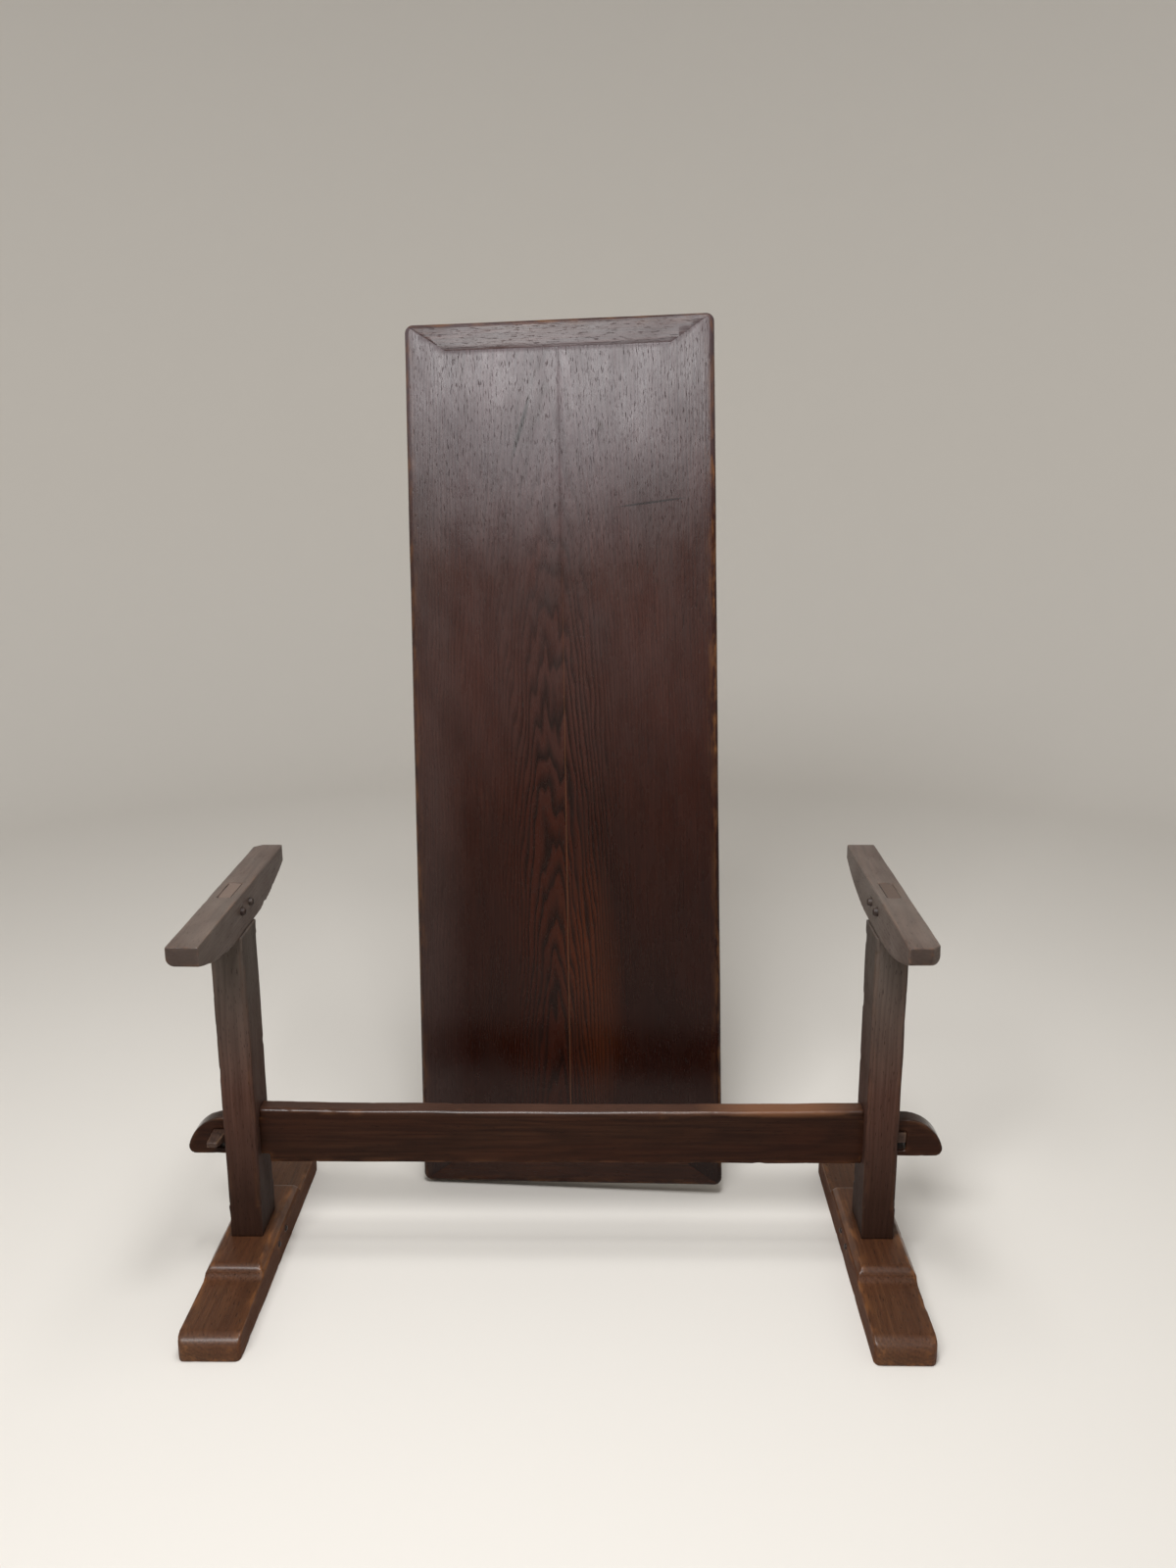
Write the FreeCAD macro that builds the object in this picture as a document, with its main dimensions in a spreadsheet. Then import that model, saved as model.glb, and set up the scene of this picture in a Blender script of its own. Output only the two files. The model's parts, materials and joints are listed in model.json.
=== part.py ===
import FreeCAD, Part
import os
from math import cos, radians, sin
import Sketcher
from FreeCAD import Placement, Rotation, Vector

# Knock-down trestle table in oak: a base of two trestles and a keyed stretcher, and a loose top
# that stands on its short end behind the base and leans back. Millimetres, +Z up, front at -Y.

SIZES = {
    # Trestles
    "seat_height": 715.0,
    "post_spacing": 1144.0,
    "post_width": 58.0,
    "post_depth": 96.0,
    "post_chamfer": 5.0,
    "post_lower_stop": 62.0,
    "post_upper_stop": 26.0,
    "tenon_width": 23.0,
    "tenon_shoulder": 9.0,
    "foot_tenon_length": 44.0,
    # Feet
    "foot_length": 614.0,
    "foot_width": 104.0,
    "block_length": 246.0,
    "block_height": 67.0,
    "block_bevel_width": 9.0,
    "block_bevel_drop": 14.0,
    "toe_height": 45.0,
    "toe_corner_radius": 12.0,
    "nose_radius": 27.0,
    # Bearers
    "bearer_length": 552.0,
    "bearer_width": 52.0,
    "bearer_middle_depth": 70.0,
    "left_bearer_end_depth": 32.0,
    "right_bearer_end_depth": 28.0,
    "bearer_flat": 106.0,
    "bearer_round": 14.0,
    "bearer_clip": 15.0,
    # Stretcher and its tongues
    "stretcher_underside": 201.0,
    "stretcher_depth": 105.0,
    "stretcher_thickness": 36.0,
    "stretcher_wear": 4.0,
    "stretcher_round": 5.0,
    "left_shoulder_notch": 14.0,
    "tongue_lower_shoulder": 16.0,
    "tongue_upper_shoulder": 17.0,
    "left_tongue_reach": 76.0,
    "right_tongue_reach": 88.0,
    "tongue_corner_radius": 14.0,
    # Keys and their slots
    "key_underside": 246.0,
    "key_height": 19.0,
    "key_length": 96.0,
    "key_thick_end": 32.0,
    "key_thin_end": 18.0,
    "key_nib_width": 19.0,
    "key_nib_height": 9.0,
    "key_nib_length": 31.0,
    "left_key_reach": 30.0,
    "right_key_reach": 56.0,
    "slot_drop": 18.0,
    "slot_relief": 5.0,
    # Pegs
    "peg_spacing": 52.0,
    "foot_peg_diameter": 11.0,
    "foot_peg_proud": 3.0,
    "foot_peg_height": 38.0,
    "bearer_peg_diameter": 14.0,
    "bearer_peg_proud": 8.0,
    "bearer_peg_drop": 30.0,
    # Top
    "top_length": 1717.0,
    "top_width": 607.0,
    "top_thickness": 30.0,
    "top_corner_radius": 16.0,
    "top_upper_round": 10.0,
    "top_lower_round": 4.0,
    "clamp_width": 54.0,
    "mitre_run": 82.0,
    "board_tongue_thickness": 10.0,
    "board_tongue_depth": 24.0,
    "board_tongue_inset": 14.0,
    "dowel_diameter": 14.0,
    "dowel_length": 110.0,
    "dowel_end_distance": 138.5,
    # Where the loose top stands
    "top_standoff": 229.5,
    "top_side_shift": 13.0,
    # Fits, and how far cutting tools run past what they cut
    "joint_clearance": 0.15,
    "key_clearance": 0.3,
    "turning_clearance": 0.06,
    "tenon_setback": 0.5,
    "cut_overrun": 8.0,
}
TURNS = {"top_lean": 10.2, "top_yaw": 4.6, "top_tilt": 1.6}
dowel_count = 5
step_round_share = 0.5
step_spread = 1.45
same_place = 1e-4

doc = FreeCAD.newDocument("tavern_table")
sheet = doc.addObject("Spreadsheet::Sheet", "Sizes")
for row, (alias, number) in enumerate({**SIZES, **TURNS}.items(), start=1):
    sheet.set("A%d" % row, alias)
    sheet.set("B%d" % row, str(number))
    sheet.setAlias("B%d" % row, alias)
doc.recompute()


class Length:
    """A length as a number, with the sheet expression that drives it."""

    def __init__(self, value, text):
        self.value = value
        self.text = text

    def __add__(self, other):
        return Length(self.value + other.value, "(%s + %s)" % (self.text, other.text))

    def __sub__(self, other):
        return Length(self.value - other.value, "(%s - %s)" % (self.text, other.text))

    def __mul__(self, other):
        factor = other if isinstance(other, Length) else Length(other, repr(other))
        return Length(self.value * factor.value, "(%s * %s)" % (self.text, factor.text))

    def __truediv__(self, other):
        factor = other if isinstance(other, Length) else Length(other, repr(other))
        return Length(self.value / factor.value, "(%s / %s)" % (self.text, factor.text))


def size(alias):
    return Length(float(getattr(sheet, alias)), "Sizes.%s" % alias)


nothing = Length(0.0, "0")
subparts = {}


def keep(label, shape_object, placement=Placement()):
    """Name a finished sub-part and put it in place."""
    shape_object.Label = label
    shape_object.Placement = placement
    subparts[label] = shape_object


def drive(target, **properties):
    """Bind properties of an object to lengths."""
    for name, length in properties.items():
        setattr(target, name, length.value)
        target.setExpression(name, length.text)
    return target


def place(target, x=nothing, y=nothing, z=nothing, turn=Rotation()):
    """Put an object at driven coordinates, with an optional turn."""
    target.Placement = Placement(Vector(x.value, y.value, z.value), turn)
    for axis, length in (("x", x), ("y", y), ("z", z)):
        target.setExpression("Placement.Base.%s" % axis, length.text)
    return target


def box(name, x, y, z, dx, dy, dz):
    """A box with its lowest corner at x, y, z."""
    solid = drive(doc.addObject("Part::Box", name), Length=dx, Width=dy, Height=dz)
    return place(solid, x, y, z)


def rod(name, diameter, length, x, y, z):
    """A round rod along X that starts at x, y, z."""
    solid = drive(doc.addObject("Part::Cylinder", name), Radius=diameter / 2, Height=length)
    return place(solid, x, y, z, Rotation(Vector(0, 1, 0), 90))


def join(name, pieces):
    fused = doc.addObject("Part::MultiFuse", name)
    fused.Shapes = pieces
    fused.Refine = True
    return fused


def group(name, pieces):
    """Separate solids that are handled as one sub-part."""
    compound = doc.addObject("Part::Compound", name)
    compound.Links = pieces
    return compound


def pair(kind, name, base, tool):
    """A cut, or the part that two solids have in common."""
    result = doc.addObject(kind, name)
    result.Base = base
    result.Tool = tool
    result.Refine = True
    return result


def cut(name, base, tools):
    tool = tools[0] if len(tools) == 1 else join(name + "_tools", tools)
    return pair("Part::Cut", name + "_cut", base, tool)


def outline(sketch, start, steps):
    """Draw a closed outline, anticlockwise, with its corners and radii driven by the sheet.

    A step is (x, y) for a line to that corner, or (x, y, radius, bend) for an arc to it, with a
    bend of 1 where the outline swells outwards and -1 where it is hollow.
    """
    corners = [start] + [step[:2] for step in steps[:-1]]
    joints = []
    for (x0, y0), step in zip(corners, steps):
        a = Vector(x0.value, y0.value, 0)
        b = Vector(step[0].value, step[1].value, 0)
        if len(step) == 2:
            joints.append((sketch.addGeometry(Part.LineSegment(a, b)), 1, 2))
            continue
        radius, bend = step[2:]
        half = (b - a) / 2
        inward = Vector(-half.y, half.x, 0).normalize() * bend
        centre = a + half + inward * (radius.value ** 2 - half.Length ** 2) ** 0.5
        index = sketch.addGeometry(Part.Arc(a, centre - inward * radius.value, b))
        reversed_arc = sketch.getPoint(index, 1).distanceToPoint(a) > same_place
        joints.append((index, 2, 1) if reversed_arc else (index, 1, 2))
        number = sketch.addConstraint(Sketcher.Constraint("Radius", index, radius.value))
        sketch.setExpression("Constraints[%d]" % number, radius.text)
    for (index, _, end), (following, begin, _) in zip(joints, joints[1:] + joints[:1]):
        sketch.addConstraint(Sketcher.Constraint("Coincident", index, end, following, begin))
    for (index, begin, _), corner in zip(joints, corners):
        for kind, axis, length in zip(("DistanceX", "DistanceY"), (-2, -1), corner):
            if length.value == 0:
                sketch.addConstraint(Sketcher.Constraint("PointOnObject", index, begin, axis))
                continue
            rule = Sketcher.Constraint(kind, -1, 1, index, begin, length.value)
            sketch.setExpression("Constraints[%d]" % sketch.addConstraint(rule), length.text)


def padded(name, plane, start, steps, depth):
    """A body padded evenly to both sides of one of its own origin planes."""
    body = doc.addObject("PartDesign::Body", name)
    sketch = body.newObject("Sketcher::SketchObject", name + "_outline")
    support = [feature for feature in body.Origin.OriginFeatures if feature.Role == plane]
    sketch.AttachmentSupport = [(support[0], "")]
    sketch.MapMode = "FlatFace"
    outline(sketch, start, steps)
    pad = body.newObject("PartDesign::Pad", name + "_pad")
    pad.Profile = sketch
    pad.SideType = "Symmetric"
    drive(pad, Length=depth)
    doc.recompute()
    return body


def slab(name, width, length, corner, height, rounded):
    """An upright block on a rectangle whose four corners are rounded or cut straight."""
    arc = (corner, 1) if rounded else ()
    steps = [
        (width - corner, nothing),
        (width, corner) + arc,
        (width, length - corner),
        (width - corner, length) + arc,
        (corner, length),
        (nothing, length - corner) + arc,
        (nothing, corner),
        (corner, nothing) + arc,
    ]
    return padded(name, "XY_Plane", (corner, nothing), steps, height)


def fillet(body, name, radius, chosen):
    """Round the edges of a body whose bounding box is accepted by chosen."""
    base = body.Tip
    numbers = [i + 1 for i, edge in enumerate(base.Shape.Edges) if chosen(edge.BoundBox)]
    feature = body.newObject("PartDesign::Fillet", name)
    feature.Base = (base, ["Edge%d" % number for number in numbers])
    drive(feature, Radius=radius)
    doc.recompute()


def near(first, second):
    return abs(first - second) < same_place


sides = {"left": -1, "right": 1}
half_turn = Rotation(Vector(0, 0, 1), 180)
clearance = size("joint_clearance")
overrun = size("cut_overrun")
seat = size("seat_height")
half_spacing = size("post_spacing") / 2
post_width = size("post_width")
post_depth = size("post_depth")
post_face = half_spacing + post_width / 2
foot_length = size("foot_length")
foot_width = size("foot_width")
block_height = size("block_height")
bearer_width = size("bearer_width")
bearer_middle = size("bearer_middle_depth")
stretcher_base = size("stretcher_underside")
stretcher_thickness = size("stretcher_thickness")
tongue_bottom = stretcher_base + size("tongue_lower_shoulder")
tongue_top = stretcher_base + size("stretcher_depth") - size("tongue_upper_shoulder")
peg_heights = {"foot": size("foot_peg_height"), "bearer": seat - size("bearer_peg_drop")}


def mirrored(side, length):
    """The same length to the left or to the right of the middle."""
    return length * float(sides[side])


def tenon(name, side, bottom, height, room=nothing):
    """A tenon on the post's middle or, with room, its mortise."""
    width = size("tenon_width") + room * 2
    depth = post_depth - size("tenon_shoulder") * 2 + room * 2
    centre = mirrored(side, half_spacing)
    return box(name, centre - width / 2, nothing - depth / 2, bottom, width, depth, height)


def peg_rods(name, side, carrier, start, length, room=nothing):
    """Two rods across a foot or bearer, starting at a distance from the post's middle."""
    first = mirrored(side, half_spacing) + start
    diameter = size(carrier + "_peg_diameter") + room * 2
    offsets = [size("peg_spacing") / 2 * sign for sign in (-1.0, 1.0)]
    return [rod("%s_%s_%d" % (name, carrier, i), diameter, length, first, y, peg_heights[carrier])
            for i, y in enumerate(offsets)]


def peg_holes(name, side, carrier):
    return peg_rods(name + "_hole", side, carrier, nothing - foot_width, foot_width * 2, clearance)


def make_pegs(side, carrier, carrier_width):
    """Two pegs right through a foot or bearer, left a little proud on the inner side."""
    name = "%s_%s_pegs" % (side, carrier)
    proud = size(carrier + "_peg_proud")
    start = nothing - carrier_width / 2
    if sides[side] > 0:
        start = start - proud
    keep(name, group(name, peg_rods(name + "_rod", side, carrier, start, carrier_width + proud)))


def make_foot(side):
    """A sledge foot: round toes, a curved step up to a bevelled block, a mortise and peg holes."""
    name = side + "_foot"
    centre = mirrored(side, half_spacing)
    toe = size("toe_height")
    nose = size("nose_radius")
    upper = (block_height - toe) * step_round_share
    lower = block_height - toe - upper
    upper_run = upper * step_spread
    lower_run = lower * step_spread
    upper_round = (upper_run * upper_run + upper * upper) / (upper * 2)
    lower_round = (lower_run * lower_run + lower * lower) / (lower * 2)
    near_block = (foot_length - size("block_length")) / 2
    far_block = foot_length - near_block
    steps = [
        (foot_length, nothing),
        (foot_length, toe - nose),
        (foot_length - nose, toe, nose, 1),
        (far_block + upper_run + lower_run, toe),
        (far_block + upper_run, toe + lower, lower_round, -1),
        (far_block, block_height, upper_round, 1),
        (near_block, block_height),
        (near_block - upper_run, toe + lower, upper_round, 1),
        (near_block - upper_run - lower_run, toe, lower_round, -1),
        (nose, toe),
        (nothing, toe - nose, nose, 1),
        (nothing, nothing),
    ]
    profile = padded(name + "_profile", "YZ_Plane", (nothing, nothing), steps, foot_width)
    place(profile, centre, nothing - foot_length / 2, nothing)
    corner = size("toe_corner_radius")
    plan = slab(name + "_plan", foot_width, foot_length, corner, block_height * 3, True)
    place(plan, centre - foot_width / 2, nothing - foot_length / 2, block_height)
    blank = pair("Part::Common", name + "_blank", profile, plan)
    half_width = foot_width / 2
    shoulder = half_width - size("block_bevel_width")
    beside = half_width + overrun
    drop = block_height - size("block_bevel_drop")
    bevel = [
        (half_width, drop),
        (beside, drop),
        (beside, block_height + overrun),
        (shoulder, block_height + overrun),
        (shoulder, block_height),
    ]
    tools = []
    for edge, turn in (("left", half_turn), ("right", Rotation())):
        tool = padded("%s_%s_bevel" % (name, edge), "XZ_Plane", bevel[-1], bevel, foot_length)
        tools.append(place(tool, centre, turn=turn))
    depth = size("foot_tenon_length")
    bottom = block_height - depth - clearance
    tools.append(tenon(name + "_mortise", side, bottom, depth + overrun, clearance))
    keep(name, cut(name, blank, tools + peg_holes(name, side, "foot")))


def make_post(side):
    """A post with stopped chamfers, a tenon at each end and a mortise for the stretcher's tongue."""
    name = side + "_post"
    inner = mirrored(side, half_spacing) - post_width / 2
    front = nothing - post_depth / 2
    top = seat - bearer_middle
    low_stop = size("post_lower_stop")
    high_stop = size("post_upper_stop")
    shaft = top - block_height - low_stop - high_stop
    middle = slab(name + "_middle", post_width, post_depth, size("post_chamfer"), shaft, False)
    place(middle, inner, front, block_height + low_stop + shaft / 2)
    foot_tenon = size("foot_tenon_length")
    bearer_tenon = bearer_middle - size("tenon_setback")
    pieces = [
        middle,
        box(name + "_lower", inner, front, block_height, post_width, post_depth, low_stop),
        box(name + "_upper", inner, front, top - high_stop, post_width, post_depth, high_stop),
        tenon(name + "_foot_tenon", side, block_height - foot_tenon, foot_tenon + low_stop / 2),
        tenon(name + "_bearer_tenon", side, top - high_stop / 2, bearer_tenon + high_stop / 2),
    ]
    width = stretcher_thickness + clearance * 2
    height = tongue_top - tongue_bottom + clearance * 2
    mortise = box(name + "_mortise", inner - overrun, nothing - width / 2, tongue_bottom - clearance,
                  post_width + overrun * 2, width, height)
    holes = [hole for carrier in peg_heights for hole in peg_holes(name, side, carrier)]
    keep(name, cut(name, join(name + "_blank", pieces), [mortise] + holes))


def make_bearer(side):
    """A bearer that is deep over its post and sweeps up to thin ends, with one outer corner clipped."""
    name = side + "_bearer"
    length = size("bearer_length")
    flat = size("bearer_flat")
    run = (length - flat) / 2
    rise = bearer_middle - size(name + "_end_depth")
    sweep = (run * run + rise * rise) / (rise * 2)
    steps = [
        (run + flat, nothing),
        (length, rise, sweep, 1),
        (length, bearer_middle),
        (nothing, bearer_middle),
        (nothing, rise),
        (run, nothing, sweep, 1),
    ]
    blank = padded(name + "_blank", "YZ_Plane", (run, nothing), steps, bearer_width)
    outer = mirrored(side, bearer_width / 2).value
    below = bearer_middle.value - same_place
    fillet(blank, name + "_round", size("bearer_round"),
           lambda b: near(b.XMin, outer) and near(b.XMax, outer) and b.ZMax < below)
    place(blank, mirrored(side, half_spacing), nothing - length / 2, seat - bearer_middle)
    bottom = seat - bearer_middle - overrun
    mortise = tenon(name + "_mortise", side, bottom, bearer_middle + overrun * 2, clearance)
    behind = nothing - overrun
    reach = size("bearer_clip") + overrun
    steps = [(reach, behind), (behind, reach), (behind, behind)]
    clip = padded(name + "_clip", "XY_Plane", steps[-1], steps, bearer_middle * 3)
    place(clip, mirrored(side, half_spacing + bearer_width / 2), mirrored(side, nothing - length / 2), seat,
          Rotation(Vector(0, 0, 1), 90 * sides[side]))
    keep(name, cut(name, blank, [mortise, clip] + peg_holes(name, side, "bearer")))


def key_taper():
    """How much a key thins for each millimetre of its length."""
    return (size("key_thick_end") - size("key_thin_end")) / size("key_length")


def make_key(side):
    """A loose wedge beside the post: flat against it, thick at the head and whittled to a nib there."""
    name = side + "_key"
    thick = size("key_thick_end")
    length = size("key_length")
    height = size("key_height")
    nib_length = size("key_nib_length")
    steps = [
        (size("key_nib_width"), nothing),
        (thick, nib_length),
        (thick, length),
        (thick - size("key_thin_end"), length),
        (nothing, nothing),
    ]
    wedge = padded(name + "_wedge", "XY_Plane", (nothing, nothing), steps, height)
    x = mirrored(side, post_face + size("key_clearance") + thick)
    y = mirrored(side, stretcher_thickness / 2 + size(side + "_key_reach"))
    turn = half_turn if sides[side] > 0 else Rotation()
    place(wedge, x, y, size("key_underside") + height / 2, turn)
    nib_drop = height - size("key_nib_height")
    steps = [(nib_length, height), (nothing, height), (nothing, height - nib_drop)]
    facet = padded(name + "_facet", "YZ_Plane", steps[-1], steps, thick * 3)
    place(facet, x, y, size("key_underside"), turn)
    keep(name, cut(name, wedge, [facet]))


def key_slot(side):
    """The slot through a tongue: it tapers with its key and runs back a little inside the post."""
    room = size("key_clearance")
    relief = size("slot_relief")
    depth = stretcher_thickness + overrun * 2
    thinned = key_taper() * (size(side + "_key_reach") - overrun)
    wide = size("key_thick_end") - thinned + room * 2 + relief
    steps = [
        (wide, nothing),
        (wide, depth),
        (key_taper() * depth, depth),
        (nothing, nothing),
    ]
    drop = size("slot_drop")
    height = drop + size("key_height") + room
    tool = padded(side + "_key_slot", "XY_Plane", (nothing, nothing), steps, height)
    x = mirrored(side, post_face - relief + wide)
    y = mirrored(side, depth / 2)
    turn = half_turn if sides[side] > 0 else Rotation()
    return place(tool, x, y, size("key_underside") - drop + height / 2, turn)


def make_stretcher():
    """A rail with a worn top edge, a notched shoulder and a rounded, slotted tongue at each end."""
    depth = size("stretcher_depth")
    low = tongue_bottom - stretcher_base
    high = tongue_top - stretcher_base
    swell = high - low
    left_reach = size("left_tongue_reach")
    right_reach = size("right_tongue_reach")
    length = left_reach + post_face * 2 + right_reach
    left_shoulder = left_reach + post_width
    right_shoulder = length - right_reach - post_width
    half = (right_shoulder - left_shoulder) / 2
    wear = size("stretcher_wear")
    hollow = (half * half + wear * wear) / (wear * 2)
    notched = left_shoulder + size("left_shoulder_notch")
    steps = [
        (notched, low),
        (notched, nothing),
        (right_shoulder, nothing),
        (right_shoulder, low),
        (length, low),
        (length - swell, high, swell, 1),
        (right_shoulder, high),
        (right_shoulder, depth),
        (left_shoulder, depth, hollow, -1),
        (left_shoulder, high),
        (swell, high),
        (nothing, low, swell, 1),
    ]
    blank = padded("stretcher_blank", "XZ_Plane", (nothing, low), steps, stretcher_thickness)
    brow = high.value + same_place
    fillet(blank, "stretcher_round", size("stretcher_round"),
           lambda b: b.XLength > half.value and b.ZMax > brow and near(b.YMin, b.YMax))
    tips = (0, length.value)
    fillet(blank, "tongue_round", size("tongue_corner_radius"),
           lambda b: near(b.XMin, b.XMax) and near(b.ZMin, low.value) and near(b.ZMax, low.value)
           and min(abs(b.XMin - tip) for tip in tips) < same_place)
    place(blank, nothing - post_face - left_reach, nothing, stretcher_base)
    keep("stretcher", cut("stretcher", blank, [key_slot(side) for side in sides]))


top_length = size("top_length")
top_width = size("top_width")
top_thickness = size("top_thickness")
clamp_width = size("clamp_width")
dowel_step = (top_length - size("dowel_end_distance") * 2) / (dowel_count - 1)
dowel_places = [size("dowel_end_distance") + dowel_step * i for i in range(dowel_count)]


def leaning():
    """Where the top stands: on its lower left corner, tipped back, a little askew and out of plumb."""
    lean = radians(sheet.top_lean)
    tilt = radians(sheet.top_tilt)
    edge = size("top_lower_round").value
    corner = size("top_corner_radius").value
    raised = (top_width.value / 2 - corner) * sin(tilt) + corner * (1 - cos(tilt))
    y = size("top_standoff").value + top_thickness.value * cos(lean)
    z = edge * (1 - cos(lean) - sin(lean)) + raised * cos(lean)
    upright = Rotation(Vector(1, 0, 0), 90 - sheet.top_lean)
    askew = Rotation(Vector(0, 0, 1), -sheet.top_yaw)
    tilted = Rotation(Vector(0, 0, 1), sheet.top_tilt)
    turned = askew.multiply(upright).multiply(tilted)
    return Placement(Vector(size("top_side_shift").value, y, z), turned)


def clamp_region(name, far_end):
    """The mitred strip of the top's plan that an end clamp takes."""
    run = size("mitre_run")
    steps = [
        (top_width, nothing),
        (top_width - run, clamp_width),
        (run, clamp_width),
        (nothing, nothing),
    ]
    strip = padded(name, "XY_Plane", (nothing, nothing), steps, top_thickness * 3)
    if far_end:
        return place(strip, top_width / 2, top_length, top_thickness / 2, half_turn)
    return place(strip, nothing - top_width / 2, nothing, top_thickness / 2)


def board_tongue(name, x, width, far_end, room=nothing):
    """A board's end tongue or, with room, its groove in the clamp."""
    height = size("board_tongue_thickness") + room * 2
    depth = size("board_tongue_depth") + room
    inner = top_length - clamp_width if far_end else clamp_width - depth
    return box(name, x, inner, top_thickness / 2 - height / 2, width, depth, height)


def make_top():
    """Two boards with end tongues, two mitred clamps over the tongues, dowels in the middle joint."""
    corner = size("top_corner_radius")
    blank = slab("top_blank", top_width, top_length, corner, top_thickness, True)
    face = top_thickness.value / 2
    fillet(blank, "top_upper_round", size("top_upper_round"),
           lambda b: near(b.ZMin, face) and near(b.ZMax, face))
    fillet(blank, "top_lower_round", size("top_lower_round"),
           lambda b: near(b.ZMin, -face) and near(b.ZMax, -face))
    place(blank, nothing - top_width / 2, nothing, top_thickness / 2)
    standing = leaning()
    ends = {"lower": False, "upper": True}
    tongue_span = top_width / 2 - size("mitre_run") - size("board_tongue_inset")
    for end, far_end in ends.items():
        name = end + "_clamp"
        strip = pair("Part::Common", name + "_blank", blank, clamp_region(name + "_region", far_end))
        groove = board_tongue(name + "_groove", nothing - tongue_span - clearance,
                              tongue_span * 2 + clearance * 2, far_end, clearance)
        keep(name, cut(name, strip, [groove]), standing)
    field = cut("top_field", blank, [clamp_region(end + "_board_end", ends[end]) for end in ends])
    reach = size("dowel_length") / 2
    bore = size("dowel_diameter") + size("turning_clearance") * 2
    for side in sides:
        name = side + "_board"
        start = nothing if sides[side] > 0 else nothing - top_width
        half = box(name + "_half", start, nothing - overrun, nothing - overrun, top_width,
                   top_length + overrun * 2, top_thickness + overrun * 2)
        start = nothing if sides[side] > 0 else nothing - tongue_span
        pieces = [pair("Part::Common", name + "_blank", field, half)]
        for end in ends:
            pieces.append(board_tongue("%s_%s_tongue" % (name, end), start, tongue_span, ends[end]))
        holes = []
        for i, y in enumerate(dowel_places):
            start = nothing - reach - clearance
            holes.append(rod("%s_hole_%d" % (name, i), bore, (reach + clearance) * 2, start, y,
                             top_thickness / 2))
        keep(name, cut(name, join(name + "_joined", pieces), holes), standing)
    dowels = []
    for i, y in enumerate(dowel_places):
        dowels.append(rod("dowel_%d" % i, size("dowel_diameter"), reach * 2, nothing - reach, y,
                          top_thickness / 2))
    keep("end_dowel", group("end_dowel", dowels[:1]), standing)
    keep("board_dowels", group("board_dowels", dowels[1:]), standing)


for side in sides:
    make_foot(side)
    make_post(side)
    make_bearer(side)
    make_key(side)
    make_pegs(side, "foot", foot_width)
    make_pegs(side, "bearer", bearer_width)
make_stretcher()
make_top()
doc.recompute()

# The origin is on the floor under the middle of the whole arrangement
extent = Part.makeCompound([piece.Shape for piece in subparts.values()]).optimalBoundingBox()
origin = Placement(Vector(-extent.Center.x, -extent.Center.y, -extent.ZMin), Rotation())
for piece in subparts.values():
    piece.Placement = origin.multiply(piece.Placement)
doc.recompute()

faults = [item.Name for item in doc.Objects if "Invalid" in item.State or "Error" in item.State]
faults += [label for label, piece in subparts.items() if piece.Shape.isNull() or not piece.Shape.isValid()]
if faults:
    raise RuntimeError("not built: " + ", ".join(faults))
os.makedirs("parts", exist_ok=True)
for label, piece in subparts.items():
    piece.Shape.exportStep("parts/%s.step" % label)
    print(label, len(piece.Shape.Solids), round(piece.Shape.Volume))
print("origin moved by", origin.Base)
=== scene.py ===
import json
import math
import bmesh
import bpy
from mathutils import Matrix, Vector, noise
from mathutils.kdtree import KDTree


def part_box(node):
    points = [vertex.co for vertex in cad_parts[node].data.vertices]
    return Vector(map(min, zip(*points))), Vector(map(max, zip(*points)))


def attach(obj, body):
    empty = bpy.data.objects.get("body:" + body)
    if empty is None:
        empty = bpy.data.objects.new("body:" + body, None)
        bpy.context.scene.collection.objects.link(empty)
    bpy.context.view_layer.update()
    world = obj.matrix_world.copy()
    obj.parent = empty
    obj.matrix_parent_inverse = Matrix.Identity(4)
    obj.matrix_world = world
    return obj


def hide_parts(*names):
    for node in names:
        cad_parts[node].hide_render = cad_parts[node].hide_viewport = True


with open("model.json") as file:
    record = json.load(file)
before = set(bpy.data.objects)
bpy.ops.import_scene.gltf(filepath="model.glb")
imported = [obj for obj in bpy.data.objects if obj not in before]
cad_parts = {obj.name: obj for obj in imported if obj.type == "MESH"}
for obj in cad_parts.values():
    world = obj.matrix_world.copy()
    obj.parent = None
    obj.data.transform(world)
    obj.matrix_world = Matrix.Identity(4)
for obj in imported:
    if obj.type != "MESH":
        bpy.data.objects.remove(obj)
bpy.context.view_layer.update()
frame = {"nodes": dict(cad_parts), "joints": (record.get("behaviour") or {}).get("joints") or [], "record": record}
nodes = frame["nodes"]
scene = bpy.context.scene
noise.seed_set(5)    # the same unevenness on every run
print("frame loaded:", len(nodes), "nodes")

mm = 0.001
samePlace = 0.001 * mm
hardEdge = math.radians(20)    # folds sharper than this count as edges
sides = {"left": -1, "right": 1}
x, y, z = Vector((1, 0, 0)), Vector((0, 1, 0)), Vector((0, 0, 1))

# the base's middle on the floor, and the loose top's own directions
footLow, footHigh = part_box("left_foot")[0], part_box("right_foot")[1]
baseMiddle = Vector(((footLow.x + footHigh.x) / 2, (footLow.y + footHigh.y) / 2, 0))
joints = {joint["name"]: joint for joint in frame["joints"]}
mounts = {mount["name"]: mount for mount in frame["record"]["mounts"]}
topOut = Vector(mounts["top_face"]["axis"])
topAcross = -Vector(joints["top_turn"]["axis"])
topAlong = topOut.cross(topAcross)


def linear(hexColour):
    # sRGB hex to linear colour
    parts = [int(hexColour[i:i + 2], 16) / 255 for i in (1, 3, 5)]
    return tuple(c / 12.92 if c < 0.04045 else ((c + 0.055) / 1.055) ** 2.4 for c in parts) + (1,)


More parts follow.
